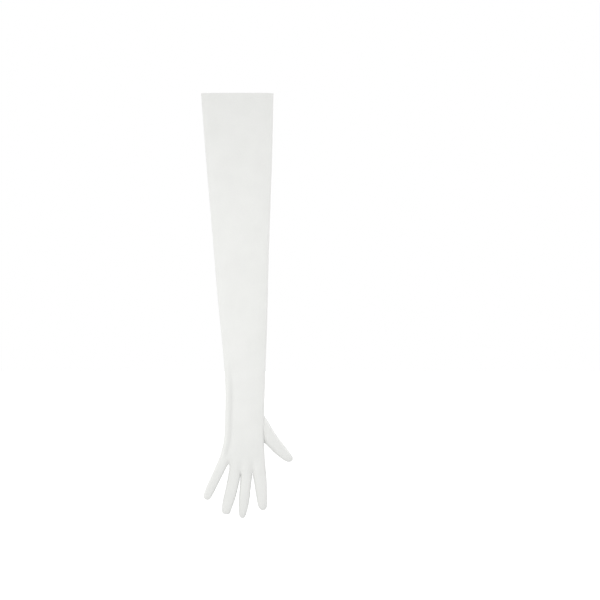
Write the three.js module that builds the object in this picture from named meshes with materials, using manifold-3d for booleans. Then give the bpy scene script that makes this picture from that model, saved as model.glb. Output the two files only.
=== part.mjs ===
// A full-length velvet dress glove for the right hand, in millimetres, +Z up.
// It hangs fingers down as it does when worn on a lowered arm. The origin is the middle of the mouth that the
// arm goes into. The back of the hand faces -Y, the palm +Y, and the thumb stands out towards +X.
import * as THREE from 'three';
import { mergeVertices } from 'three/addons/utils/BufferGeometryUtils.js';
import Module from 'manifold-3d';

const wasm = await Module();
wasm.setup();

// Driving dimensions
const gloveLength = 700;      // hem to the tip of the middle finger
const clothThickness = 1.2;   // stretch velvet
const seamGap = 0.3;          // between two pieces that are sewn edge to edge
const hemDepth = 10;          // how far the top edge is turned in, which doubles the cloth there
const sleeveSides = 36;
const fingerSides = 20;
const capRings = [0.42, 0.72, 0.91, 1];  // shares of a rounded tip's length where it has a ring
const tipFacet = 0.12;        // share of a finger's width that is left as a small facet at its very tip
const sleeveSquareness = 2.6; // 2 is an ellipse, more is a flatter front and back
const fingerSquareness = 2.3;
const tipBluntness = 2.4;

// Sleeve and hand, a row for each section: how far below the hem, the little-finger side, the thumb side,
// and the depth from back to palm. The last two rows close the hand between the roots of the fingers.
const sleeveSections = [
  { below: 0, left: -59.8, right: 59.8, depth: 42 },
  { below: 44, left: -56.6, right: 58.8, depth: 41 },
  { below: 110, left: -51.6, right: 57.3, depth: 40 },
  { below: 176, left: -45.9, right: 55.0, depth: 39 },
  { below: 242, left: -40.4, right: 52.9, depth: 37 },
  { below: 308, left: -35.1, right: 50.9, depth: 35 },
  { below: 374, left: -28.6, right: 49.3, depth: 32 },
  { below: 439, left: -22.4, right: 47.2, depth: 29 },
  { below: 472, left: -20.4, right: 45.9, depth: 28 },
  { below: 505, left: -19.7, right: 45.4, depth: 27 },
  { below: 530, left: -20.2, right: 44.3, depth: 27 },
  { below: 555, left: -20.9, right: 44.2, depth: 27 },
  { below: 575, left: -22.9, right: 44.3, depth: 27 },
  { below: 590, left: -26.6, right: 45.3, depth: 25.5 },
  { below: 602, left: -29.4, right: 46.2, depth: 21 },
  { below: 611, left: -25.0, right: 43.0, depth: 13 },
];

// Fingers, a row for each section along the middle line: sideways, below the hem, width across, depth.
// The first row of each is inside the hand. The tip is where the rounded end stops.
const fingers = {
  index: {
    tip: { x: 43.0, below: 687 },
    sections: [
      { x: 34.5, below: 590, width: 20.0, depth: 23 },
      { x: 35.8, below: 614, width: 22.6, depth: 20.5 },
      { x: 36.9, below: 629, width: 22.0, depth: 18.5 },
      { x: 38.7, below: 644, width: 20.4, depth: 17 },
      { x: 40.2, below: 661, width: 18.6, depth: 16 },
      { x: 41.6, below: 676, width: 16.2, depth: 14.5 },
    ],
  },
  middle: {
    tip: { x: 7.9, below: gloveLength },
    sections: [
      { x: 17.6, below: 590, width: 18.5, depth: 23 },
      { x: 16.0, below: 614, width: 19.6, depth: 20.5 },
      { x: 15.0, below: 629, width: 19.0, depth: 18.5 },
      { x: 13.5, below: 644, width: 18.3, depth: 17 },
      { x: 11.9, below: 663, width: 17.9, depth: 16 },
      { x: 9.9, below: 682, width: 15.4, depth: 14 },
      { x: 8.8, below: 690, width: 13.0, depth: 12.5 },
    ],
  },
  ring: {
    tip: { x: -19.2, below: 693.6 },
    sections: [
      { x: 0.6, below: 590, width: 19.0, depth: 23 },
      { x: -2.4, below: 614, width: 20.4, depth: 20.5 },
      { x: -4.9, below: 629, width: 20.3, depth: 18.5 },
      { x: -7.7, below: 644, width: 20.2, depth: 17 },
      { x: -12.2, below: 663, width: 19.7, depth: 16 },
      { x: -15.6, below: 675, width: 18.2, depth: 15 },
      { x: -17.9, below: 685, width: 16.0, depth: 13.5 },
    ],
  },
  little: {
    tip: { x: -52.0, below: 669.2 },
    sections: [
      { x: -17.0, below: 592, width: 16.5, depth: 22 },
      { x: -23.0, below: 607, width: 17.8, depth: 20 },
      { x: -30.0, below: 622, width: 16.6, depth: 17 },
      { x: -37.2, below: 637, width: 15.9, depth: 15.5 },
      { x: -44.3, below: 652, width: 15.5, depth: 14.5 },
      { x: -48.3, below: 660.8, width: 13.9, depth: 13 },
    ],
  },
};

// Thumb, a row for each section: its upper edge and its lower edge seen from the front, how far its middle
// lies towards the palm, and its depth. The first row is inside the hand.
const thumb = {
  tip: { x: 91.4, below: 606.0, towardsPalm: 10 },
  sections: [
    { upperX: 26.0, upperBelow: 509, lowerX: 27.0, lowerBelow: 572, towardsPalm: 3.5, depth: 15 },
    { upperX: 44.1, upperBelow: 522.5, lowerX: 44.4, lowerBelow: 579.5, towardsPalm: 7, depth: 18 },
    { upperX: 50.5, upperBelow: 539.5, lowerX: 47.8, lowerBelow: 582.3, towardsPalm: 7.8, depth: 18.5 },
    { upperX: 58.0, upperBelow: 552.5, lowerX: 51.4, lowerBelow: 585.0, towardsPalm: 8.8, depth: 18.5 },
    { upperX: 66.0, upperBelow: 564.6, lowerX: 56.0, lowerBelow: 588.6, towardsPalm: 10, depth: 18 },
    { upperX: 74.5, upperBelow: 576.4, lowerX: 62.4, lowerBelow: 593.6, towardsPalm: 10, depth: 17.3 },
    { upperX: 81.5, upperBelow: 585.2, lowerX: 69.0, lowerBelow: 598.8, towardsPalm: 10, depth: 16.3 },
    { upperX: 86.6, upperBelow: 591.6, lowerX: 74.4, lowerBelow: 602.9, towardsPalm: 10, depth: 15.5 },
  ],
};

// Fourchettes, the strips sewn between two fingers: which fingers, where the crotch starts below the hem.
const fourchetteHalfWidth = 4.2;  // half its width, from back to palm
const fourchetteTipReserve = 5;   // how far it stops short of each fingertip
const fourchettes = [
  { name: 'fourchette_index_middle', left: 'middle', right: 'index', below: 598 },
  { name: 'fourchette_middle_ring', left: 'ring', right: 'middle', below: 598 },
  { name: 'fourchette_ring_little', left: 'little', right: 'ring', below: 598 },
];

// A closed solid through rings. A ring holds its centre, its across direction, its half sizes and squareness.
// A unit cylinder is bent so that its own rings fall on these, with its flat ends as the first and last.
function loft(rings, sides) {
  const geometry = new THREE.CylinderGeometry(1, 1, 1, sides, rings.length - 1);
  const unit = new THREE.Vector3();
  const point = new THREE.Vector3();
  const place = geometry.getAttribute('position');
  for (let i = 0; i < place.count; i++) {
    unit.fromBufferAttribute(place, i);
    const ring = rings[Math.round((0.5 - unit.y) * (rings.length - 1))];
    const rounded = (value) => Math.sign(value) * Math.abs(value) ** (2 / ring.squareness);
    point.copy(ring.centre).addScaledVector(ring.across, rounded(unit.x) * ring.halfWidth);
    point.y -= rounded(unit.z) * ring.halfDepth;
    place.setXYZ(i, point.x, point.y, point.z);
  }
  return solidOf(geometry);
}

function solidOf(geometry) {
  geometry.deleteAttribute('normal');
  geometry.deleteAttribute('uv');
  const merged = mergeVertices(geometry, 1e-3);
  return new wasm.Manifold(new wasm.Mesh({
    numProp: 3,
    vertProperties: merged.getAttribute('position').array,
    triVerts: new Uint32Array(merged.index.array),
  }));
}

function sleeveRing(section, offset) {
  return {
    centre: new THREE.Vector3((section.left + section.right) / 2, 0, -section.below),
    across: new THREE.Vector3(1, 0, 0),
    halfWidth: (section.right - section.left) / 2 + offset,
    halfDepth: section.depth / 2 + offset,
    squareness: sleeveSquareness,
  };
}

// The sleeve and hand, grown by offset, or shrunk where that is negative.
function sleeveBody(offset) {
  return loft(sleeveSections.map((section) => sleeveRing(section, offset)), sleeveSides);
}

// The space inside the sleeve. It starts above the hem, and is narrower inside the hem's doubled cloth.
function sleeveHollow() {
  const [mouth, second] = sleeveSections;
  const hemShare = hemDepth / second.below;
  const hemEnd = {
    below: hemDepth,
    left: THREE.MathUtils.lerp(mouth.left, second.left, hemShare),
    right: THREE.MathUtils.lerp(mouth.right, second.right, hemShare),
    depth: THREE.MathUtils.lerp(mouth.depth, second.depth, hemShare),
  };
  const rings = [
    sleeveRing({ ...mouth, below: -hemDepth }, -2 * clothThickness),
    sleeveRing(hemEnd, -2 * clothThickness),
    sleeveRing({ ...hemEnd, below: hemDepth + clothThickness }, -clothThickness),
    ...sleeveSections.slice(1).map((section) => sleeveRing(section, -clothThickness)),
  ];
  rings[rings.length - 1].centre.z += clothThickness;
  return loft(rings, sleeveSides);
}

// The rings of a rounded end, from the last full section to the tip.
function tipRings(last, tip) {
  return capRings.map((share) => {
    const size = Math.max((1 - share ** tipBluntness) ** (1 / tipBluntness), tipFacet);
    return {
      ...last,
      centre: last.centre.clone().lerp(tip, share),
      halfWidth: last.halfWidth * size,
      halfDepth: last.halfDepth * size,
    };
  });
}

function fingerBody({ sections, tip }, offset) {
  const middles = sections.map((section) => new THREE.Vector3(section.x, 0, -section.below));
  const end = new THREE.Vector3(tip.x, 0, -tip.below);
  const line = [...middles, end];
  const rings = sections.map((section, i) => {
    const along = line[i + 1].clone().sub(line[Math.max(i - 1, 0)]).normalize();
    return {
      centre: middles[i],
      across: new THREE.Vector3(-along.z, 0, along.x),
      halfWidth: section.width / 2 + offset,
      halfDepth: section.depth / 2 + offset,
      squareness: fingerSquareness,
    };
  });
  const last = rings[rings.length - 1];
  const tipAlong = end.clone().sub(last.centre).normalize();
  return loft([...rings, ...tipRings(last, end.addScaledVector(tipAlong, offset))], fingerSides);
}

function thumbBody({ sections, tip }, offset) {
  const rings = sections.map((section) => {
    const upper = new THREE.Vector3(section.upperX, section.towardsPalm, -section.upperBelow);
    const lower = new THREE.Vector3(section.lowerX, section.towardsPalm, -section.lowerBelow);
    return {
      centre: upper.clone().lerp(lower, 0.5),
      across: upper.clone().sub(lower).normalize(),
      halfWidth: upper.distanceTo(lower) / 2 + offset,
      halfDepth: section.depth / 2 + offset,
      squareness: fingerSquareness,
    };
  });
  const last = rings[rings.length - 1];
  const end = new THREE.Vector3(tip.x, tip.towardsPalm, -tip.below);
  const along = end.clone().sub(last.centre).normalize();
  return loft([...rings, ...tipRings(last, end.addScaledVector(along, offset))], fingerSides);
}

// The space that holds one fourchette: between the middle lines of two fingers, from above their crotch
// to just short of their tips, and halfWidth to each side of the glove's middle plane.
function fourchetteSpace({ left, right, below }, halfWidth, reserve) {
  const middleLine = (finger) => {
    const { sections, tip } = fingers[finger];
    const last = sections[sections.length - 1];
    const length = Math.hypot(tip.x - last.x, tip.below - last.below);
    const share = 1 - reserve / length;
    const end = {
      x: THREE.MathUtils.lerp(last.x, tip.x, share),
      below: THREE.MathUtils.lerp(last.below, tip.below, share),
    };
    const lower = sections.filter((section) => section.below > below);
    return [{ x: lower[0].x, below }, ...lower, end].map((at) => new THREE.Vector2(at.x, -at.below));
  };
  const outline = new THREE.Shape([...middleLine(left), ...middleLine(right).reverse()]);
  const slab = new THREE.ExtrudeGeometry(outline, { depth: 2 * halfWidth, bevelEnabled: false });
  slab.rotateX(Math.PI / 2);
  slab.translate(0, halfWidth, 0);
  return solidOf(slab);
}

const velvet = new THREE.MeshStandardMaterial({ color: 0xecedea, roughness: 0.95, metalness: 0 });

function meshOf(name, solid) {
  const { vertProperties, triVerts } = solid.getMesh();
  const geometry = new THREE.BufferGeometry();
  geometry.setAttribute('position', new THREE.BufferAttribute(vertProperties, 3));
  geometry.setIndex(new THREE.BufferAttribute(triVerts, 1));
  const mesh = new THREE.Mesh(geometry, velvet);
  mesh.name = name;
  return mesh;
}

const union = (solids) => solids.reduce((sum, solid) => sum.add(solid));

const outside = union([sleeveBody(0), ...Object.values(fingers).map((finger) => fingerBody(finger, 0))]);
const hollow = union([
  sleeveHollow(),
  ...Object.values(fingers).map((finger) => fingerBody(finger, -clothThickness)),
]);
const handWall = outside.subtract(hollow);
const thumbHollow = thumbBody(thumb, -clothThickness);

const glove = new THREE.Group();

// The trank: sleeve, palm, back and the backs and fronts of the fingers, cut from one piece of cloth.
const fourchetteSlots = union(fourchettes.map((strip) => (
  fourchetteSpace(strip, fourchetteHalfWidth + seamGap, fourchetteTipReserve - seamGap))));
glove.add(meshOf('trank', handWall.subtract(thumbHollow).subtract(fourchetteSlots)));

// The thumb, sewn into the hole at the side of the palm.
const thumbWall = thumbBody(thumb, 0).subtract(thumbHollow).subtract(sleeveBody(seamGap));
glove.add(meshOf('thumb', thumbWall));

for (const strip of fourchettes) {
  const space = fourchetteSpace(strip, fourchetteHalfWidth, fourchetteTipReserve);
  glove.add(meshOf(strip.name, handWall.intersect(space)));
}

export default glove;
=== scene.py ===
import math

import bmesh
import bpy
import numpy as np
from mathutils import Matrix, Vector, kdtree, noise


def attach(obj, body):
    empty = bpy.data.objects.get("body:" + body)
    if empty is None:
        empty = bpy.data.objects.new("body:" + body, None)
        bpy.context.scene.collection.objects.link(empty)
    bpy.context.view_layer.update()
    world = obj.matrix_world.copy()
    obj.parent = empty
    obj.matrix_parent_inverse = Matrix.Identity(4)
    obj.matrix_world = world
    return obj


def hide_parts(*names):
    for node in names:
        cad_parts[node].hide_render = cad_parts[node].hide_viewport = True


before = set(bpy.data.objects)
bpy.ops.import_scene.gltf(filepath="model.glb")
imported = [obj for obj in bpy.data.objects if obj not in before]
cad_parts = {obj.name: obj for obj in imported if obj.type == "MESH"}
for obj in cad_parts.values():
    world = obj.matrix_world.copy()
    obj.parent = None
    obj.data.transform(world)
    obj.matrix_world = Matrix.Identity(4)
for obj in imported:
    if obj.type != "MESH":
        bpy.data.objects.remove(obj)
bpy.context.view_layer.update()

# All sizes below are in mm, in the frame of the record: the mouth at the origin, fingers towards -Z,
# the back of the hand towards -Y, the thumb towards +X.
mm = 0.001

glove = {
    "sleeveSquareness": 2.6,  # 2 is an ellipse, more is flatter front and back
    "fingerSquareness": 2.8,
    "ovalSteps": 1440,  # steps in which the way round the sleeve is measured
    "wall": 1.2,
    "hemDepth": 9.5,  # cloth turned in at the mouth
    # how far below the hem, little-finger side, thumb side, depth from back to palm
    "sleeveTable": [
        (0, -59.8, 59.8, 42), (44, -56.6, 58.8, 41), (110, -51.6, 57.3, 40), (176, -45.9, 55.0, 39),
        (242, -40.4, 52.9, 37), (308, -35.1, 50.9, 35), (374, -28.6, 49.3, 32), (439, -22.4, 47.2, 29),
        (472, -20.4, 45.9, 28), (505, -19.7, 45.4, 27), (530, -20.2, 44.6, 27), (555, -20.9, 44.4, 27),
        (575, -22.9, 44.4, 27), (590, -26.6, 45.3, 25.5), (602, -29.6, 46.3, 22),
    ],
    "sleeveRows": [4.5, 9.5, 14.5, 30, 56, 84, 112, 140, 168, 196, 224, 252, 280, 308, 336, 364, 392, 418,
                   442, 464, 484, 503, 520, 536, 551, 566, 581],
    "knuckleRow": 592,
    "knuckleDrop": 0.35,  # how far that row already follows the line of the webs
    "knuckleSwell": 0.2,  # and the knuckles' depth
    # where the fingers leave the hand: sideways, below the hem; the inner three are the webs
    "rootLine": [(-30.4, 601.5), (-12.8, 608.6), (5.4, 626.0), (24.9, 623.7), (46.9, 618.0)],
    "webHalf": 5.3,  # half the cloth's depth at a web
    "webSink": 0.4,  # how far a web's middle hangs below its edges
    "knuckleHalf": [10.0, 10.4, 10.4, 10.6],
    "knuckleArch": 0.86,  # share of that depth halfway to a web
    "thumbEdge": (1.4, 6),  # the back's last point: in from the thumb side, half its depth
    "foldEdge": (1.6, -2, 0.8),  # how far its first point is moved
}

# points in each ring of the sleeve, which runs from the little-finger side over the back and round the palm
ringPoints = 36
sideSeam, thumbSide, foldSide = 16, 17, 35  # the seam comes just before the thumb side

# below the hem, sideways, width across, depth; rows are where the mesh has a ring, tip is where the end is
fingers = {
    "little": {
        "table": [(607, -23.0, 17.8, 20), (622, -30.0, 16.6, 17), (637, -37.2, 15.9, 15.5),
                  (652, -44.3, 15.5, 14.5), (660.8, -48.3, 13.9, 13)],
        "rows": [616, 628, 640, 651, 660], "tip": (-52.0, 669.2), "blunt": 2.48,
    },
    "ring": {
        "table": [(614, -2.4, 20.4, 20.5), (629, -4.9, 20.3, 18.5), (644, -7.85, 19.9, 17),
                  (663, -12.2, 19.7, 16), (675, -15.6, 18.2, 15), (685, -17.9, 16.0, 13.5)],
        "rows": [628, 641, 654, 666, 677, 685], "tip": (-19.2, 693.6), "blunt": 3.12,
    },
    "middle": {
        "table": [(614, 16.0, 19.6, 20.5), (629, 15.0, 19.0, 18.5), (644, 13.6, 18.1, 17),
                  (663, 11.9, 17.9, 16), (682, 9.9, 15.4, 14), (690, 8.8, 13.0, 12.5)],
        "rows": [631, 644, 657, 669, 681, 689], "tip": (7.9, 700.0), "blunt": 2.55,
    },
    "index": {
        "table": [(614, 35.8, 22.6, 20.5), (629, 36.9, 22.0, 18.5), (644, 38.7, 20.4, 17),
                  (661, 40.2, 18.6, 16), (676, 41.6, 16.2, 14.5)],
        "rows": [631, 643, 655, 666, 676], "tip": (43.0, 687.0), "blunt": 2.17,
    },
}
strips = {
    "half": [4.2, 4.2, 4.2, 4.0, 3.6, 3.0],  # half a side strip's width, row by row down a finger
    "tipRows": [(0.36, 2.4), (0.64, 1.8), (0.86, 1.0)],  # share of the tip's length, half the strip's width
    "widest": 0.95,  # share of a finger's depth that a strip may take
    # the seam over a fingertip, point by point: share of the finger's width, how far drawn back from the end
    "tipSeam": [(-0.31, 0.3), (0, 0), (0.31, 0.3)],
}
thumb = {
    # upper edge and lower edge seen from the front, how far towards the palm, depth
    "table": [
        (51.2, 540.2, 47.8, 579.0, 4.4, 20.5), (58.0, 552.5, 51.4, 582.4, 6.0, 20),
        (66.0, 564.6, 56.0, 587.2, 7.8, 19), (74.5, 576.4, 62.4, 593.6, 9.2, 17.6),
        (81.5, 585.2, 69.0, 598.8, 10, 16.3), (86.4, 591.6, 74.4, 603.0, 10, 15),
        (89.6, 596.4, 79.4, 606.0, 10, 13), (91.4, 599.9, 84.4, 607.5, 10, 10),
        (91.8, 602.8, 88.2, 606.9, 10, 5.5),
    ],
    "rings": 15,
    "tip": (90.7, 604.9, 10),
    "columns": (17, 21),  # of the hand's rings, that its hole takes up
    "rows": (520, 581),
    "seamSpan": (526, 576.5),  # the seam's top and bottom
    "seamSquareness": 2.7,
    "seamArc": (5.7, 11.1),  # middle and half width of the hole, round the hand from its thumb side
    "rootRounds": 2,  # of smoothing the cloth round the hole
}
backPart, palmPart, hemPart, thumbPart, stripPart = 0, 1, 2, 3, 4  # the strips are 4, 5 and 6


def smoothTable(table, below):
    # a smooth curve through the table's rows, without overshoot
    rows = np.array(table, float)
    depths = rows[:, 0]
    slopes = np.diff(rows, axis=0) / np.diff(depths)[:, None]
    product = slopes[1:] * slopes[:-1]
    total = slopes[1:] + slopes[:-1]
    inner = np.where(product > 0, 2 * product / np.where(total == 0, 1, total), 0)
    tangents = np.vstack([slopes[:1], inner, slopes[-1:]])
    below = min(max(below, depths[0]), depths[-1])
    i = min(int(np.searchsorted(depths, below, side="right")) - 1, len(depths) - 2)
    span = depths[i + 1] - depths[i]
    t = (below - depths[i]) / span
    return (rows[i] * (1 + 2 * t) * (1 - t) ** 2 + tangents[i] * span * t * (1 - t) ** 2
            + rows[i + 1] * t * t * (3 - 2 * t) + tangents[i + 1] * span * t * t * (t - 1))


def smoothStep(value, low, high):
    t = min(max((value - low) / (high - low), 0), 1)
    return t * t * (3 - 2 * t)


def rounded(value, squareness):
    return math.copysign(abs(value) ** (2 / squareness), value)


def roundEnd(share, blunt):
    return (1 - share ** blunt) ** (1 / blunt)


def placeAt(x, below, back=0):
    # a point the way the tables give it: sideways, below the hem, how far towards the palm
    return Vector((x, back, -below))


def opposite(i):
    # the palm's point behind point i of the back
    return 2 * thumbSide - i


def handPart(i):
    return palmPart if sideSeam <= i < opposite(0) else backPart


def ovalAt(below):
    # the sleeve's outline at a height: points at equal turns and how far round each one is
    _, left, right, depth = smoothTable(glove["sleeveTable"], below)
    turn = np.linspace(-math.pi, math.pi, glove["ovalSteps"] + 1)
    power = 2 / glove["sleeveSquareness"]
    x = (left + right) / 2 + (right - left) / 2 * np.sign(np.cos(turn)) * np.abs(np.cos(turn)) ** power
    y = depth / 2 * np.sign(np.sin(turn)) * np.abs(np.sin(turn)) ** power
    along = np.concatenate([[0], np.cumsum(np.hypot(np.diff(x), np.diff(y)))])
    return x, y, along


def sleeveRing(below):
    # equal steps of arc round the sleeve
    x, y, along = ovalAt(below)
    wanted = (np.arange(ringPoints) + 1) / ringPoints % 1 * along[-1]
    across, deep = np.interp(wanted, along, x), np.interp(wanted, along, y)
    return [placeAt(px, below, py) for px, py in zip(across, deep)]


def sleevePoint(below, arc):
    # a point on the sleeve, arc mm round from its thumb side towards the palm
    x, y, along = ovalAt(below)
    wanted = along[-1] / 2 + arc
    return placeAt(np.interp(wanted, along, x), below, np.interp(wanted, along, y))


def rootRing():
    # the hand's last ring, which runs down to each web and over each knuckle
    line, half, arch = glove["rootLine"], glove["knuckleHalf"], glove["knuckleArch"]
    front = []
    for k in range(4):
        (x0, below0), (x1, below1) = line[k], line[k + 1]
        for j, lift in enumerate([glove["webHalf"] / half[k], arch, 1, arch]):
            front.append(placeAt(x0 + (x1 - x0) * j / 4, below0 + (below1 - below0) * j / 4, -half[k] * lift))
    inset, edgeHalf = glove["thumbEdge"]
    front.append(placeAt(line[4][0] - inset, line[4][1], -edgeHalf))
    front[0] += Vector(glove["foldEdge"])
    palm = [Vector((p.x, -p.y, p.z)) for p in reversed(front)]
    return front + [placeAt(*line[4])] + palm + [placeAt(*line[0])]


def fingerRing(centre, along, halfWidth, halfDepth, strip):
    # five points on the back between the two seams, the right side, five on the palm, the left side
    n = glove["fingerSquareness"]
    across = Vector((-along.z, 0, along.x))
    seam = math.asin(min(strip / halfDepth, strips["widest"]) ** (n / 2))
    turns = [*np.linspace(seam - math.pi, -seam, 5), 0, *np.linspace(seam, math.pi - seam, 5), math.pi]
    oval = [(rounded(math.cos(turn), n), rounded(math.sin(turn), n)) for turn in turns]
    return [centre + across * (halfWidth * c) + Vector((0, halfDepth * s, 0)) for c, s in oval]


def extrudeRing(bm, ring, places, partLayer, partOf):
    # grows the mesh by one ring; partOf gives the part that each new face belongs to
    edges = [bm.edges.get((a, b)) for a, b in zip(ring, ring[1:] + ring[:1])]
    made = bmesh.ops.extrude_edge_only(bm, edges=edges)["geom"]
    fresh = {v for v in made if isinstance(v, bmesh.types.BMVert)}
    grown = [next(e.other_vert(v) for e in v.link_edges if e.other_vert(v) in fresh) for v in ring]
    for vert, place in zip(grown, places):
        vert.co = place
    for i, vert in enumerate(ring):
        following = ring[(i + 1) % len(ring)]
        face = next(f for f in grown[i].link_faces if vert in f.verts and following in f.verts)
        face[partLayer] = partOf(i)
    return grown


def markSeam(bm, verts):
    for a, b in zip(verts, verts[1:]):
        bm.edges.get((a, b)).seam = True


def smoothVerts(bm, verts, rounds):
    for _ in range(rounds):
        bmesh.ops.smooth_vert(bm, verts=verts, factor=0.5, use_axis_x=True, use_axis_y=True, use_axis_z=True)


def closeTip(bm, ring, tip, partLayer, parts):
    # closes a ring of 12 with a middle row over the tip, which is where the tip's seam runs
    front, right, palm, left = ring[0:5], ring[5], ring[6:11][::-1], ring[11]
    middle = [left]
    for j, (side, sink) in enumerate(strips["tipSeam"]):
        place = tip + (right.co - left.co) * side
        middle.append(bm.verts.new(place.lerp(front[j + 1].co.lerp(palm[j + 1].co, 0.5), sink)))
    middle.append(right)
    for j in range(4):
        for row, part in ((front, parts[0]), (palm, parts[1])):
            face = bm.faces.new((row[j], row[j + 1], middle[j + 1], middle[j]))
            face[partLayer] = part
    return middle


def growSleeve(bm, partLayer):
    ring = bmesh.ops.create_circle(bm, segments=ringPoints, radius=1)["verts"]
    for vert, place in zip(ring, sleeveRing(0)):
        vert.co = place
    rows = {0: ring}
    above = 0
    for below in glove["sleeveRows"]:
        partOf = handPart if above >= glove["hemDepth"] else lambda i: hemPart
        rows[below] = extrudeRing(bm, rows[above], sleeveRing(below), partLayer, partOf)
        above = below
    roots = rootRing()
    plainRing = sleeveRing(glove["knuckleRow"])
    knuckles = [plain.lerp(root, glove["knuckleDrop"]) for plain, root in zip(plainRing, roots)]
    swell = glove["knuckleSwell"]
    for place, plain in zip(knuckles, plainRing):
        place.y = plain.y * (1 - swell) + place.y * swell
    rows["knuckles"] = extrudeRing(bm, rows[above], knuckles, partLayer, handPart)
    rows["roots"] = extrudeRing(bm, rows["knuckles"], roots, partLayer, handPart)
    hemLine = rows[glove["hemDepth"]]
    markSeam(bm, hemLine + hemLine[:1])
    order = [0, *glove["sleeveRows"], "knuckles", "roots"]
    markSeam(bm, [rows[key][sideSeam] for key in order])
    return rows


def growFingers(bm, partLayer, roots):
    # between two fingers a crotch point joins the web's front to its back
    crotches = []
    for k in (1, 2, 3):
        front, palm = roots[4 * k], roots[opposite(4 * k)]
        crotch = bm.verts.new(front.co.lerp(palm.co, 0.5) - Vector((0, 0, glove["webSink"])))
        bm.edges.new((front, crotch))
        bm.edges.new((crotch, palm))
        crotches.append(crotch)
    for k, finger in enumerate(fingers.values()):
        right = crotches[k] if k < 3 else roots[thumbSide]
        left = crotches[k - 1] if k > 0 else roots[foldSide]
        palm = [roots[opposite(4 * k + j)] for j in (4, 3, 2, 1, 0)]
        rings = [roots[4 * k:4 * k + 5] + [right] + palm + [left]]
        rightPart = stripPart + k if k < 3 else palmPart
        leftPart = stripPart + k - 1 if k > 0 else backPart
        parts = [backPart] * 4 + [rightPart] * 2 + [palmPart] * 4 + [leftPart] * 2
        tip = placeAt(*finger["tip"])
        centres = [smoothTable(finger["table"], below) for below in finger["rows"]]
        line = [placeAt(c[1], c[0]) for c in centres] + [tip]
        for i, (below, x, width, depth) in enumerate(centres):
            along = (line[i + 1] - line[max(i - 1, 0)]).normalized()
            places = fingerRing(line[i], along, width / 2, depth / 2, strips["half"][i])
            rings.append(extrudeRing(bm, rings[-1], places, partLayer, lambda i: parts[i]))
        # the finger goes on tapering into its rounded end
        along = (tip - line[-2]).normalized()
        taper = (1 - centres[-1][2] / centres[-2][2]) * (tip - line[-2]).length / (line[-2] - line[-3]).length
        for share, strip in strips["tipRows"]:
            size = (1 - taper * share) * roundEnd(share, finger["blunt"])
            places = fingerRing(line[-2].lerp(tip, share), along, width / 2 * size, depth / 2 * size, strip)
            rings.append(extrudeRing(bm, rings[-1], places, partLayer, lambda i: parts[i]))
        last = rings[-1]
        markSeam(bm, closeTip(bm, last, tip, partLayer, (backPart, palmPart)))
        # the two seams of a strip run down the finger and meet over its tip
        for hasStrip, edge, palmEdge, middle in ((k < 3, 4, 6, 5), (k > 0, 0, 10, 11)):
            if hasStrip:
                markSeam(bm, [ring[edge] for ring in rings])
                markSeam(bm, [ring[palmEdge] for ring in rings])
                markSeam(bm, [last[edge], last[middle], last[palmEdge]])
        if k == 3:  # the side seam goes on down the index finger
            markSeam(bm, [ring[4] for ring in rings] + [last[5]])


def growThumb(bm, partLayer, rows):
    # the thumb grows out of an oval hole between the thumb side and the palm
    first, last = thumb["columns"]
    middle = (first + last) // 2
    keys = [key for key in glove["sleeveRows"] if thumb["rows"][0] <= key <= thumb["rows"][1]]
    topRow, bottomRow = rows[keys[0]], rows[keys[-1]]
    loop = topRow[middle:first:-1] + [rows[key][first] for key in keys] + bottomRow[first + 1:last]
    loop += [rows[key][last] for key in reversed(keys)] + topRow[last - 1:middle:-1]
    doomed = []
    for upper, lower in zip(keys, keys[1:]):
        for c in range(first, last):
            corners = {rows[upper][c], rows[upper][c + 1], rows[lower][c], rows[lower][c + 1]}
            doomed.append(next(f for f in rows[upper][c].link_faces if set(f.verts) == corners))
    bmesh.ops.delete(bm, geom=doomed, context="FACES")
    arcMiddle, arcHalf = thumb["seamArc"]
    top, bottom = thumb["seamSpan"]
    turns = [math.radians(360 / len(loop) * i) for i in range(len(loop))]
    for vert, turn in zip(loop, turns):
        below = (top + bottom) / 2 - (bottom - top) / 2 * math.cos(turn)
        vert.co = sleevePoint(below, arcMiddle - arcHalf * rounded(math.sin(turn), thumb["seamSquareness"]))
    around = {e.other_vert(v) for v in loop for e in v.link_edges} - set(loop)
    smoothVerts(bm, list(around), thumb["rootRounds"])
    n = glove["fingerSquareness"]
    oval = [(rounded(math.cos(turn), n), rounded(math.sin(turn), n)) for turn in turns]
    ring = loop
    steps = [(i, *row) for i, row in enumerate(thumb["table"])]
    for step in np.linspace(0, len(steps) - 1, thumb["rings"]):
        _, upperX, upperBelow, lowerX, lowerBelow, back, depth = smoothTable(steps, step)
        upper, lower = placeAt(upperX, upperBelow, back), placeAt(lowerX, lowerBelow, back)
        centre, across = (upper + lower) / 2, (upper - lower).normalized()
        width = (upper - lower).length
        places = [centre + across * (width / 2 * c) - Vector((0, depth / 2 * s, 0)) for c, s in oval]
        ring = extrudeRing(bm, ring, places, partLayer, lambda i: thumbPart)
    cap = bm.faces.new(ring)
    cap[partLayer] = thumbPart
    poked = bmesh.ops.poke(bm, faces=[cap])
    poked["verts"][0].co = placeAt(*thumb["tip"])
    for face in poked["faces"]:
        face[partLayer] = thumbPart
    markSeam(bm, loop + loop[:1])  # last, because new rings copy the mark of the ring they grow from


def meshObject(name, bm):
    mesh = bpy.data.meshes.new(name)
    bm.to_mesh(mesh)
    bm.free()
    obj = bpy.data.objects.new(name, mesh)
    bpy.context.scene.collection.objects.link(obj)
    return obj


def shownMesh(obj):
    depsgraph = bpy.context.evaluated_depsgraph_get()
    return bpy.data.meshes.new_from_object(obj.evaluated_get(depsgraph))


def meshPoints(mesh):
    points = np.empty(len(mesh.vertices) * 3)
    mesh.vertices.foreach_get("co", points)
    return points.reshape(-1, 3)


fitting = {"rounds": 4, "step": 0.85, "levels": 2}


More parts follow.
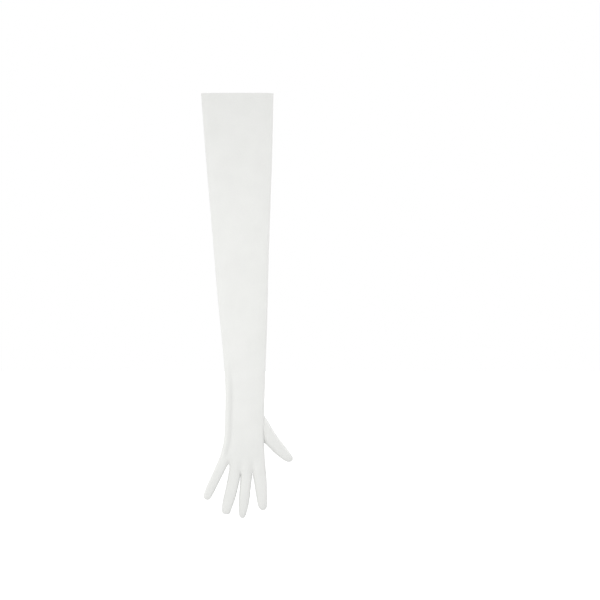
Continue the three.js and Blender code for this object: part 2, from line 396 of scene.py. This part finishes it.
def fitCage(obj):
    # moves the cage until its smoothed surface runs through the places that the tables give;
    # the first points of a smoothed mesh are the cage's own
    wanted = meshPoints(obj.data)
    cage = wanted.copy()
    smoothing = obj.modifiers.new("smoothing", "SUBSURF")
    smoothing.levels = smoothing.render_levels = 1
    for _ in range(fitting["rounds"]):
        surface = shownMesh(obj)
        cage += fitting["step"] * (wanted - meshPoints(surface)[:len(wanted)])
        bpy.data.meshes.remove(surface)
        obj.data.vertices.foreach_set("co", cage.ravel())
        obj.data.update()
    smoothing.levels = smoothing.render_levels = fitting["levels"]
    finished = shownMesh(obj)
    obj.modifiers.remove(smoothing)
    return finished


def makeShell():
    bm = bmesh.new()
    partLayer = bm.faces.layers.int.new("part")
    rows = growSleeve(bm, partLayer)
    growFingers(bm, partLayer, rows["roots"])
    growThumb(bm, partLayer, rows)
    bmesh.ops.recalc_face_normals(bm, faces=bm.faces)
    cage = meshObject("cage", bm)
    surface = fitCage(cage)
    bpy.data.objects.remove(cage)
    return surface


surface = makeShell()
print("shell", len(surface.vertices), "points", len(surface.polygons), "faces")
partIds = [0] * len(surface.polygons)
surface.attributes["part"].data.foreach_get("value", partIds)
print("parts", sorted(set(partIds)), "seam edges", sum(e.use_seam for e in surface.edges))

settling = {
    "frames": 14,
    "hold": 0.5,  # how firmly the cloth keeps the shape that it was cut to
    "pressure": 0.05,
    "seamShrink": 0.03,  # how much the thread draws a seam together
    "cap": 0.25,  # how far a point may move
    "quality": 6,
    "pointMass": 0.0002,
    "stretch": 12,  # stiffness against stretching, shearing and bending
    "shear": 6,
    "bend": 0.6,
    "mouthRim": 1,  # the hem and this much below it don't move
}


def settleCloth(surface):
    # a cloth simulation: the threads draw the seams in, and a little air fills the cloth between them
    obj = bpy.data.objects.new("settling", surface.copy())
    bpy.context.scene.collection.objects.link(obj)
    start = meshPoints(surface)
    obj.data.vertices.foreach_set("co", (start * mm).ravel())
    seamVerts = sorted({v for e in surface.edges if e.use_seam for v in e.vertices})
    hemVerts = [int(i) for i in np.flatnonzero(start[:, 2] > -glove["hemDepth"] - settling["mouthRim"])]
    held = obj.vertex_groups.new(name="held")
    held.add(range(len(start)), settling["hold"], "REPLACE")
    held.add(hemVerts, 1, "REPLACE")
    drawn = obj.vertex_groups.new(name="drawn")
    drawn.add(seamVerts, 1, "REPLACE")
    cloth = obj.modifiers.new("cloth", "CLOTH")
    rules = cloth.settings
    rules.quality = settling["quality"]
    rules.mass = settling["pointMass"]
    rules.tension_stiffness = rules.compression_stiffness = settling["stretch"]
    rules.shear_stiffness = settling["shear"]
    rules.bending_stiffness = settling["bend"]
    rules.vertex_group_mass = "held"
    rules.vertex_group_shrink = "drawn"
    rules.shrink_min = 0
    rules.shrink_max = settling["seamShrink"]
    rules.use_pressure = True
    rules.uniform_pressure_force = settling["pressure"]
    rules.effector_weights.gravity = 0
    cloth.collision_settings.use_collision = False
    for number in range(1, settling["frames"] + 1):
        bpy.context.scene.frame_set(number)
    settled = shownMesh(obj)
    moves = meshPoints(settled) / mm - start
    sizes = np.linalg.norm(moves, axis=1)
    print("cloth moved", round(sizes.mean().item(), 2), "mm on average, at most", round(sizes.max().item(), 2))
    moves *= (np.minimum(sizes, settling["cap"]) / np.maximum(sizes, 1e-9))[:, None]
    surface.vertices.foreach_set("co", (start + moves).ravel())
    surface.update()
    bpy.data.objects.remove(obj)
    bpy.context.scene.frame_set(1)


settleCloth(surface)

evening = {
    "thumbRounds": (24, 6),  # of evening out the thumb's seam, twice
    "thumbReach": 9,  # points away from the seam
    "clothRounds": 2,
    "archRadius": 13,
    "archRounds": 3,
    "archReach": 1,
    "tipRadius": 8,
    "tipRounds": 4,
}
folds = {
    # how far inside the fold it lies, where below the hem it fades in and out, and where away from the side
    "valley": {
        "inside": 9.6, "depth": 1.5, "width": 3.6,
        "start": (430, 500), "end": (590, 608), "side": (4, 9),
    },
    # soft unevenness of the whole cloth, longer along the arm than across
    "drift": {"depth": 0.35, "size": 60, "stretch": (1, 1.5, 0.55), "start": (5, 60)},
    "pucker": {"depth": 0.12, "reach": 8, "size": 5.5},
}
seams = {
    "depth": 0.32,  # how deep a seam sinks into the pile
    "width": 0.9,
    "hemDepth": 0.12,  # and the hem's line, which is every seam this near the mouth
    "hemRange": 15,
    "tipRange": 11,  # this near a fingertip
    "tipShare": 0.25,  # only this share of the depth is left
}


def evenLine(bm, line, rounds, reach):
    # evens out a seam line between its fixed ends, and then the cloth beside it, less and less further away
    beside = {v: [e.other_vert(v) for e in v.link_edges if e.seam and e.other_vert(v) in line] for v in line}
    beside = {v: ends for v, ends in beside.items() if len(ends) == 2}
    for _ in range(rounds):
        evened = {v: v.co.lerp((a.co + b.co) / 2, 0.5) for v, (a, b) in beside.items()}
        for vert, place in evened.items():
            vert.co = place
    near = set(line)
    for _ in range(reach):
        near |= {e.other_vert(v) for v in near for e in v.link_edges}
        smoothVerts(bm, list(near - line), evening["clothRounds"])


def roundSeams(bm, fingertips):
    # the line where the thumb is sewn in, the arches of the side strips at the webs, and all five tips
    partLayer = bm.faces.layers.int["part"]
    line = {v for f in bm.faces if f[partLayer] == thumbPart for v in f.verts}
    line = {v for v in line if any(f[partLayer] != thumbPart for f in v.link_faces)}
    for rounds in evening["thumbRounds"]:
        evenLine(bm, line, rounds, evening["thumbReach"])
    for spot in glove["rootLine"][1:4]:
        web = placeAt(*spot)
        arch = {v for e in bm.edges if e.seam for v in e.verts if (v.co - web).length < evening["archRadius"]}
        evenLine(bm, arch, evening["archRounds"], evening["archReach"])
    for tip in [*fingertips, placeAt(*thumb["tip"])]:
        end = [v for v in bm.verts if (v.co - tip).length < evening["tipRadius"]]
        smoothVerts(bm, end, evening["tipRounds"])


def shapeCloth(bm):
    # soft unevenness, the valley beside the fold with a mask for the shade painted into it, sunk seams and the
    # small puckers along them
    fingertips = [placeAt(*finger["tip"]) for finger in fingers.values()]
    roundSeams(bm, fingertips)
    bm.normal_update()
    seamVerts = {v for e in bm.edges if e.seam for v in e.verts}
    tree = kdtree.KDTree(len(seamVerts))
    for i, vert in enumerate(seamVerts):
        tree.insert(vert.co, i)
    tree.balance()
    valley, drift, pucker = folds["valley"], folds["drift"], folds["pucker"]
    valleyShadeLayer = bm.verts.layers.float.new("valleyShade")
    moves = {}
    for vert in bm.verts:
        x, y, z = vert.co
        below = -z
        spread = Vector([value * stretch for value, stretch in zip(vert.co, drift["stretch"])])
        move = drift["depth"] * noise.noise(spread / drift["size"]) * smoothStep(below, *drift["start"])
        left = smoothTable(glove["sleeveTable"], below)[1]
        band = smoothStep(below, *valley["start"]) * (1 - smoothStep(below, *valley["end"]))
        aside = (x - left - valley["inside"]) / valley["width"]
        dip = band * math.exp(-aside * aside) * smoothStep(abs(y), *valley["side"])
        move -= valley["depth"] * dip
        # the valley's weight, kept as the mask of the shade painted into the dip
        vert[valleyShadeLayer] = dip
        distance = tree.find(vert.co)[2]
        if distance < pucker["reach"]:
            fade = (1 - distance / pucker["reach"]) ** 2
            move += pucker["depth"] * fade * noise.noise(vert.co / pucker["size"])
            sunk = seams["depth"] if below > seams["hemRange"] else seams["hemDepth"]
            if min((vert.co - tip).length for tip in fingertips) < seams["tipRange"]:
                sunk *= seams["tipShare"]
            move -= sunk * math.exp(-(distance / seams["width"]) ** 2)
        moves[vert] = vert.normal * move
    for vert, move in moves.items():
        vert.co += move


shaped = bmesh.new()
shaped.from_mesh(surface)
shapeCloth(shaped)
shaped.to_mesh(surface)
shaped.free()

pieces = {
    "trank_cloth": {"node": "trank", "parts": {backPart, palmPart, hemPart}},
    "thumb_cloth": {"node": "thumb", "parts": {thumbPart}},
    "strip_ring_little": {"node": "fourchette_ring_little", "parts": {stripPart}},
    "strip_middle_ring": {"node": "fourchette_middle_ring", "parts": {stripPart + 1}},
    "strip_index_middle": {"node": "fourchette_index_middle", "parts": {stripPart + 2}},
}
cutting = {
    "seamGap": 0.03,  # how far a piece is drawn in at its seams
    "mouthRim": 1,  # edges this near the mouth are no seam
    "hemMargin": 0.3,  # how far past the hem's line the cloth is doubled
    "corner": 62,  # corners sharper than this many degrees are rounded
    "cornerSize": 0.3,
    "cornerSegments": 2,
}


def cutPiece(name, surface, parts):
    # one piece of cloth: its share of the surface, drawn in a little at its seams
    bm = bmesh.new()
    bm.from_mesh(surface)
    partLayer = bm.faces.layers.int["part"]
    bmesh.ops.delete(bm, geom=[f for f in bm.faces if f[partLayer] not in parts], context="FACES")
    rim = {v for e in bm.edges if e.is_boundary for v in e.verts if v.co.z < -cutting["mouthRim"]}
    ways = {v: sum((f.calc_center_median() - v.co for f in v.link_faces), Vector()) for v in rim}
    for vert, inward in ways.items():
        vert.co += inward.normalized() * cutting["seamGap"]
    bmesh.ops.scale(bm, vec=(mm, mm, mm), verts=bm.verts)
    for face in bm.faces:
        face.smooth = True
        face.material_index = 0
    obj = meshObject(name, bm)
    hemEnd = -(glove["hemDepth"] + cutting["hemMargin"]) * mm
    hem = obj.vertex_groups.new(name="hem")
    hem.add([v.index for v in obj.data.vertices if v.co.z > hemEnd], 1, "REPLACE")
    return obj


def thicken(obj):
    # gives the piece its wall, twice as thick in the hem, with the knitted reverse inside and soft corners
    solid = obj.modifiers.new("cloth", "SOLIDIFY")
    solid.thickness = 2 * glove["wall"] * mm
    solid.offset = -1
    solid.vertex_group = "hem"
    solid.thickness_vertex_group = 0.5
    solid.material_offset = 1
    solid.material_offset_rim = 0
    mesh = shownMesh(obj)
    obj.modifiers.remove(solid)
    obj.data = mesh
    bm = bmesh.new()
    bm.from_mesh(mesh)
    corner = math.radians(cutting["corner"])
    sharp = [e for e in bm.edges if e.is_manifold and e.calc_face_angle() > corner]
    bmesh.ops.bevel(bm, geom=sharp, offset=cutting["cornerSize"] * mm, segments=cutting["cornerSegments"],
                    affect="EDGES", profile=0.5, material=-1, clamp_overlap=True)
    for face in bm.faces:
        face.smooth = True
        if face.calc_center_median().z > -glove["hemDepth"] * mm:
            face.material_index = 0
    bm.to_mesh(mesh)
    bm.free()


def newMaterial(name, settings):
    material = bpy.data.materials.new(name)
    material.use_nodes = True
    shader = material.node_tree.nodes["Principled BSDF"]
    for socket, value in settings.items():
        shader.inputs[socket].default_value = value
    return material, shader


def addTones(nodes, tones, ends=(0, 1)):
    ramp = nodes.new("ShaderNodeValToRGB")
    for element, tone, end in zip(ramp.color_ramp.elements, tones, ends):
        element.position = end
        element.color = (*tone, 1)
    return ramp


def addNoise(nodes, scale, detail):
    texture = nodes.new("ShaderNodeTexNoise")
    texture.inputs["Scale"].default_value = scale
    texture.inputs["Detail"].default_value = detail
    return texture


def addBump(material, height, shader, relief):
    nodes, links = material.node_tree.nodes, material.node_tree.links
    bump = nodes.new("ShaderNodeBump")
    bump.inputs["Strength"].default_value = relief["strength"]
    bump.inputs["Distance"].default_value = relief["height"] * mm
    links.new(height, bump.inputs["Height"])
    links.new(bump.outputs["Normal"], shader.inputs["Normal"])


velvetLook = {
    "shader": {"Roughness": 0.9, "Specular IOR Level": 0.15, "Sheen Weight": 0.6, "Sheen Roughness": 0.45},
    "patches": (34, 3),  # of pile brushed this way and that: scale and detail of the noise
    "tones": ((0.809, 0.814, 0.794), (0.831, 0.836, 0.816)),
    "toneEnds": (0.3, 0.7),
    "pile": (3200, 3),
    "pileStretch": (1, 1, 0.4),  # the pile lies along the arm
    "pileShare": 0.14,  # of the pile in the colour
    "valleyShadeTone": (0.746, 0.751, 0.733),  # painted shade: a darker colour laid into the dip beside the fold
    "relief": {"strength": 0.45, "height": 0.3},
}


def velvetMaterial():
    material, shader = newMaterial("velvet", velvetLook["shader"])
    nodes, links = material.node_tree.nodes, material.node_tree.links
    place = nodes.new("ShaderNodeTexCoord")
    patches = addNoise(nodes, *velvetLook["patches"])
    brushed = nodes.new("ShaderNodeMapping")
    brushed.inputs["Scale"].default_value = velvetLook["pileStretch"]
    pile = addNoise(nodes, *velvetLook["pile"])
    links.new(place.outputs["Object"], patches.inputs["Vector"])
    links.new(place.outputs["Object"], brushed.inputs["Vector"])
    links.new(brushed.outputs["Vector"], pile.inputs["Vector"])
    tone = addTones(nodes, velvetLook["tones"], velvetLook["toneEnds"])
    links.new(patches.outputs["Fac"], tone.inputs["Fac"])
    # painted shade: the colour darkens to the shade tone where the valley mask is high
    valleyShade = nodes.new("ShaderNodeAttribute")
    valleyShade.attribute_name = "valleyShade"
    valleyShadeMix = nodes.new("ShaderNodeMix")
    valleyShadeMix.data_type = "RGBA"
    valleyShadeMix.inputs[7].default_value = (*velvetLook["valleyShadeTone"], 1)
    links.new(valleyShade.outputs["Fac"], valleyShadeMix.inputs[0])
    links.new(tone.outputs["Color"], valleyShadeMix.inputs[6])
    grain = nodes.new("ShaderNodeMix")
    grain.data_type = "RGBA"
    grain.blend_type = "MULTIPLY"
    grain.inputs[0].default_value = velvetLook["pileShare"]
    links.new(valleyShadeMix.outputs[2], grain.inputs[6])
    links.new(pile.outputs["Fac"], grain.inputs[7])
    links.new(grain.outputs[2], shader.inputs["Base Color"])
    addBump(material, pile.outputs["Fac"], shader, velvetLook["relief"])
    return material


reverseLook = {
    "shader": {"Roughness": 0.75},
    "ribScale": 320,
    "ribWaver": 1.5,
    "tones": ((0.68, 0.69, 0.665), (0.76, 0.77, 0.745)),
    "relief": {"strength": 0.3, "height": 0.3},
}


def reverseMaterial():
    # the knitted back of the cloth
    material, shader = newMaterial("knitReverse", reverseLook["shader"])
    nodes, links = material.node_tree.nodes, material.node_tree.links
    place = nodes.new("ShaderNodeTexCoord")
    ribs = nodes.new("ShaderNodeTexWave")
    ribs.wave_type = "BANDS"
    ribs.bands_direction = "X"
    ribs.inputs["Scale"].default_value = reverseLook["ribScale"]
    ribs.inputs["Distortion"].default_value = reverseLook["ribWaver"]
    links.new(place.outputs["Object"], ribs.inputs["Vector"])
    tone = addTones(nodes, reverseLook["tones"])
    links.new(ribs.outputs["Fac"], tone.inputs["Fac"])
    links.new(tone.outputs["Color"], shader.inputs["Base Color"])
    addBump(material, ribs.outputs["Fac"], shader, reverseLook["relief"])
    return material


velvet, knitReverse = velvetMaterial(), reverseMaterial()
for name, piece in pieces.items():
    obj = cutPiece(name, surface, piece["parts"])
    obj.data.materials.append(velvet)
    obj.data.materials.append(knitReverse)
    thicken(obj)
    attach(obj, "root")
    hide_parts(piece["node"])
    print(name, len(obj.data.polygons), "faces")

hemStitches = {
    "below": 9.1,
    "step": 3.1,
    "length": 2.1,
    "thickness": 0.32,
    "proud": 0.02,  # how far a stitch's middle stands off the cloth
    "lineWidth": 0.6,  # how far from the hem's line a point of the cloth still counts as on it
}


def sewHem(surface):
    # a row of small stitches round the mouth, each one lying on the cloth along the hem
    line = [v.co for v in surface.vertices if abs(v.co.z + glove["hemDepth"]) < hemStitches["lineWidth"]]
    line.sort(key=lambda p: math.atan2(p.y, p.x))
    ring = [placeAt(p.x, hemStitches["below"], p.y) for p in line]
    steps = [(b - a).length for a, b in zip(ring, ring[1:] + ring[:1])]
    total = sum(steps)
    count = round(total / hemStitches["step"])
    halfLength, halfThickness = hemStitches["length"] / 2, hemStitches["thickness"] / 2
    bm = bmesh.new()
    along, i = 0.0, 0
    for number in range(count):
        wanted = number * total / count
        while along + steps[i] < wanted:
            along += steps[i]
            i += 1
        a, b = ring[i], ring[(i + 1) % len(ring)]
        centre, way = a.lerp(b, (wanted - along) / steps[i]), (b - a).normalized()
        outward = way.cross(Vector((0, 0, 1))).normalized()
        if outward.dot(centre) < 0:
            outward = -outward
        stitch = bmesh.ops.create_icosphere(bm, subdivisions=1, radius=1)["verts"]
        for vert in stitch:
            x, y, z = vert.co
            offset = way * (x * halfLength) + outward * (y * halfThickness + hemStitches["proud"])
            vert.co = centre + offset + Vector((0, 0, z * halfThickness))
    bmesh.ops.recalc_face_normals(bm, faces=bm.faces)
    bmesh.ops.scale(bm, vec=(mm, mm, mm), verts=bm.verts)
    for face in bm.faces:
        face.smooth = True
    print("hem stitches", count, "round", round(total), "mm")
    return meshObject("hem_stitching", bm)


threadLook = {
    "shader": {"Roughness": 0.55},
    "twistScale": 700,
    "tones": ((0.76, 0.765, 0.745), (0.84, 0.845, 0.825)),
}


def threadMaterial():
    material, shader = newMaterial("sewingThread", threadLook["shader"])
    nodes, links = material.node_tree.nodes, material.node_tree.links
    place = nodes.new("ShaderNodeTexCoord")
    twist = nodes.new("ShaderNodeTexWave")
    twist.bands_direction = "DIAGONAL"
    twist.inputs["Scale"].default_value = threadLook["twistScale"]
    links.new(place.outputs["Object"], twist.inputs["Vector"])
    tone = addTones(nodes, threadLook["tones"])
    links.new(twist.outputs["Fac"], tone.inputs["Fac"])
    links.new(tone.outputs["Color"], shader.inputs["Base Color"])
    return material


stitching = sewHem(surface)
stitching.data.materials.append(threadMaterial())
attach(stitching, "root")

studio = {
    "cameraDistance": 8.0,
    "cameraSensor": 36,
    "cameraReach": 100,
    "frameCentre": (103.3, -340.4),
    "frameWidth": 988.4,
    "floor": -0.90,
    "floorSize": 30,
    "floorLook": {
        "Base Color": (0.9, 0.9, 0.9, 1),
        "Roughness": 1,
        "Specular IOR Level": 0,
        "Emission Color": (1, 1, 1, 1),
        "Emission Strength": 0.55,
    },
    "surround": 0.8,  # strength of the soft light from all round
    # name, place, what it faces, size, power
    "lamps": [
        ("key", (0.02, -0.85, -0.33), (0.01, 0, -0.33), 0.4, 2.15),
        ("back", (0.0, 0.85, -0.33), (0.01, 0, -0.33), 0.4, 1.9),
        ("left", (-1.0, 0.25, -0.25), (-0.05, 0, -0.25), 0.5, 1.5),
        ("lowLeft", (-0.8, -0.3, -0.75), (0.0, 0, -0.6), 0.3, 0.85),
        ("right", (1.0, 0.2, -0.1), (0.05, 0, -0.15), 0.5, 1.1),
        ("lowRight", (0.95, -0.25, -0.6), (0.04, 0, -0.6), 0.3, 0.12),
        ("top", (0.1, 0.05, 1.1), (0, 0, 0), 0.5, 5.0),
    ],
}


def makeWorld(scene):
    # white to the camera, a little softer as light
    world = bpy.data.worlds.new("studio")
    scene.world = world
    world.use_nodes = True
    nodes, links = world.node_tree.nodes, world.node_tree.links
    backdrop, surround = nodes["Background"], nodes.new("ShaderNodeBackground")
    mix = nodes.new("ShaderNodeMixShader")
    for background, strength in ((backdrop, 1), (surround, studio["surround"])):
        background.inputs["Color"].default_value = (1, 1, 1, 1)
        background.inputs["Strength"].default_value = strength
    links.new(nodes.new("ShaderNodeLightPath").outputs["Is Camera Ray"], mix.inputs["Fac"])
    links.new(surround.outputs["Background"], mix.inputs[1])
    links.new(backdrop.outputs["Background"], mix.inputs[2])
    links.new(mix.outputs["Shader"], nodes["World Output"].inputs["Surface"])


def makeFloor():
    bm = bmesh.new()
    bmesh.ops.create_grid(bm, x_segments=1, y_segments=1, size=studio["floorSize"])
    bmesh.ops.translate(bm, vec=(0, 0, studio["floor"]), verts=bm.verts)
    floor = meshObject("floor", bm)
    pale, _ = newMaterial("paleFloor", studio["floorLook"])
    floor.data.materials.append(pale)
    floor.visible_diffuse = False  # it shows, but throws no light up at the fingertips


def makeCamera(scene):
    x, z = (value * mm for value in studio["frameCentre"])
    cameraData = bpy.data.cameras.new("camera")
    cameraData.sensor_width = studio["cameraSensor"]
    cameraData.lens = studio["cameraSensor"] * studio["cameraDistance"] / (studio["frameWidth"] * mm)
    cameraData.clip_end = studio["cameraReach"]
    camera = bpy.data.objects.new("camera", cameraData)
    camera.location = (x, -studio["cameraDistance"], z)
    camera.rotation_euler = (math.pi / 2, 0, 0)
    scene.collection.objects.link(camera)
    scene.camera = camera


def makeLamps(scene):
    for name, place, target, size, power in studio["lamps"]:
        lampData = bpy.data.lights.new(name, "AREA")
        lampData.shape = "DISK"
        lampData.size = size
        lampData.energy = power
        lamp = bpy.data.objects.new(name, lampData)
        lamp.location = place
        lamp.rotation_euler = (Vector(target) - lamp.location).to_track_quat("-Z", "Y").to_euler()
        lamp.visible_camera = False
        scene.collection.objects.link(lamp)


scene = bpy.context.scene
scene.view_settings.view_transform = "Standard"
makeWorld(scene)
makeFloor()
makeCamera(scene)
makeLamps(scene)
print("studio")
